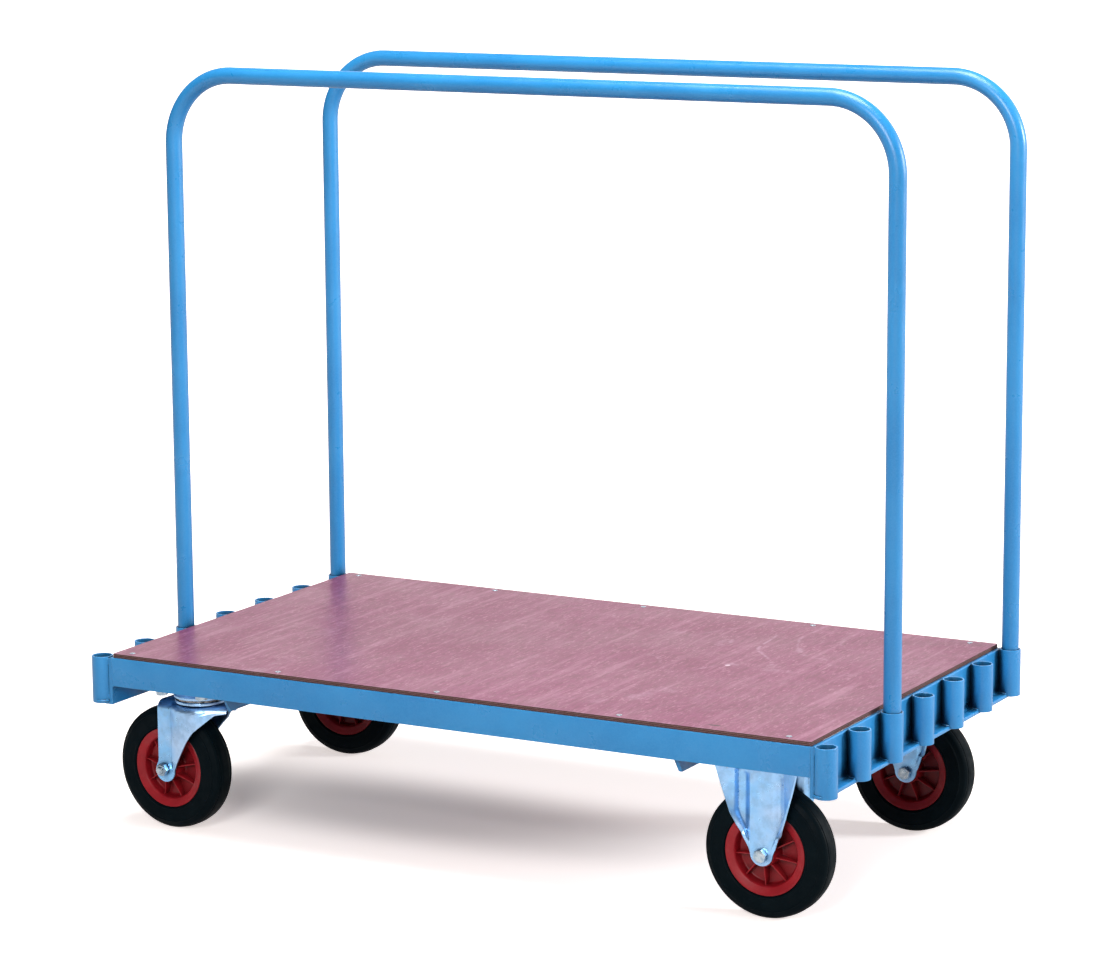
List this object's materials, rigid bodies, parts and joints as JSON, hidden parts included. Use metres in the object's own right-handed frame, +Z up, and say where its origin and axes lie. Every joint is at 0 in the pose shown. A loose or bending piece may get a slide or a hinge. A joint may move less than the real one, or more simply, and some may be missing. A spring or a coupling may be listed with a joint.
{
  "type": "platform trolley",
  "caption": "Flat-deck trolley with a steel frame, a board deck, lift-out tube hoops in sockets at its ends, and swivel and fixed casters.",
  "frame": {"origin": "on the floor, under the middle of the deck", "axes": "+X along the deck towards the fixed casters, +Y across the deck towards the hoop that stands at its edge, +Z up"},
  "size_m": [1.2956, 0.728, 1.2014],
  "materials": {
    "blue_paint": "semi-gloss blue powder coat",
    "deck_film": "smooth red-brown film-faced board, dusty",
    "zinc_plate": "bright blue-white zinc plate",
    "black_rubber": "matt black",
    "red_plastic": "satin red moulding",
    "bearing_steel": "oiled steel"
  },
  "bodies": {
    "trolley": {"deck_board": "deck_film", "side_rail_front": "blue_paint", "side_rail_back": "blue_paint", "end_rail_fixed": "blue_paint", "end_rail_swivel": "blue_paint", "cross_member_fixed": "blue_paint", "cross_member_swivel": "blue_paint", "caster_pad_fixed_front": "blue_paint", "caster_pad_fixed_back": "blue_paint", "caster_pad_swivel_front": "blue_paint", "caster_pad_swivel_back": "blue_paint", "fixed_front_bracket": "zinc_plate", "fixed_front_axle_bolt": "zinc_plate", "fixed_front_axle_nut": "zinc_plate", "fixed_front_plate_bolt_1": "zinc_plate", "fixed_front_plate_bolt_2": "zinc_plate", "fixed_front_plate_bolt_3": "zinc_plate", "fixed_front_plate_bolt_4": "zinc_plate", "fixed_back_bracket": "zinc_plate", "fixed_back_axle_bolt": "zinc_plate", "fixed_back_axle_nut": "zinc_plate", "fixed_back_plate_bolt_1": "zinc_plate", "fixed_back_plate_bolt_2": "zinc_plate", "fixed_back_plate_bolt_3": "zinc_plate", "fixed_back_plate_bolt_4": "zinc_plate", "swivel_front_top_plate": "zinc_plate", "swivel_front_kingpin": "zinc_plate", "swivel_front_plate_bolt_1": "zinc_plate", "swivel_front_plate_bolt_2": "zinc_plate", "swivel_front_plate_bolt_3": "zinc_plate", "swivel_front_plate_bolt_4": "zinc_plate", "swivel_back_top_plate": "zinc_plate", "swivel_back_kingpin": "zinc_plate", "swivel_back_plate_bolt_1": "zinc_plate", "swivel_back_plate_bolt_2": "zinc_plate", "swivel_back_plate_bolt_3": "zinc_plate", "swivel_back_plate_bolt_4": "zinc_plate"},
    "hoop_front": {"hoop_front": "blue_paint"},
    "hoop_back": {"hoop_back": "blue_paint"},
    "swivel_front_fork": {"swivel_front_fork": "zinc_plate", "swivel_front_ball_race": "bearing_steel", "swivel_front_axle_bolt": "zinc_plate", "swivel_front_axle_nut": "zinc_plate"},
    "swivel_front_wheel": {"swivel_front_wheel_rim": "red_plastic", "swivel_front_tyre": "black_rubber", "swivel_front_roller_bearing": "bearing_steel"},
    "fixed_front_wheel": {"fixed_front_wheel_rim": "red_plastic", "fixed_front_tyre": "black_rubber", "fixed_front_roller_bearing": "bearing_steel"},
    "swivel_back_fork": {"swivel_back_fork": "zinc_plate", "swivel_back_ball_race": "bearing_steel", "swivel_back_axle_bolt": "zinc_plate", "swivel_back_axle_nut": "zinc_plate"},
    "swivel_back_wheel": {"swivel_back_wheel_rim": "red_plastic", "swivel_back_tyre": "black_rubber", "swivel_back_roller_bearing": "bearing_steel"},
    "fixed_back_wheel": {"fixed_back_wheel_rim": "red_plastic", "fixed_back_tyre": "black_rubber", "fixed_back_roller_bearing": "bearing_steel"}
  },
  "joints": [
    {"name": "hoop_front_lift", "type": "slide", "parent": "trolley", "child": "hoop_front", "axis": [0, 0, 1], "range_m": [0, 0.1]},
    {"name": "hoop_back_lift", "type": "slide", "parent": "trolley", "child": "hoop_back", "axis": [0, 0, 1], "range_m": [0, 0.1]},
    {"name": "swivel_front_turn", "type": "hinge", "parent": "trolley", "child": "swivel_front_fork", "pos_m": [-0.5, -0.262, 0.215], "axis": [0, 0, 1], "continuous": true},
    {"name": "swivel_front_wheel_spin", "type": "hinge", "parent": "swivel_front_fork", "child": "swivel_front_wheel", "pos_m": [-0.55191, -0.25892, 0.1], "axis": [0.0593, 0.9982, 0], "continuous": true},
    {"name": "fixed_front_wheel_spin", "type": "hinge", "parent": "trolley", "child": "fixed_front_wheel", "pos_m": [0.5, -0.262, 0.1], "axis": [0, 1, 0], "continuous": true},
    {"name": "swivel_back_turn", "type": "hinge", "parent": "trolley", "child": "swivel_back_fork", "pos_m": [-0.5, 0.262, 0.215], "axis": [0, 0, 1], "continuous": true},
    {"name": "swivel_back_wheel_spin", "type": "hinge", "parent": "swivel_back_fork", "child": "swivel_back_wheel", "pos_m": [-0.55193, 0.25928, 0.1], "axis": [-0.0523, 0.9986, 0], "continuous": true},
    {"name": "fixed_back_wheel_spin", "type": "hinge", "parent": "trolley", "child": "fixed_back_wheel", "pos_m": [0.5, 0.262, 0.1], "axis": [0, 1, 0], "continuous": true}
  ]
}
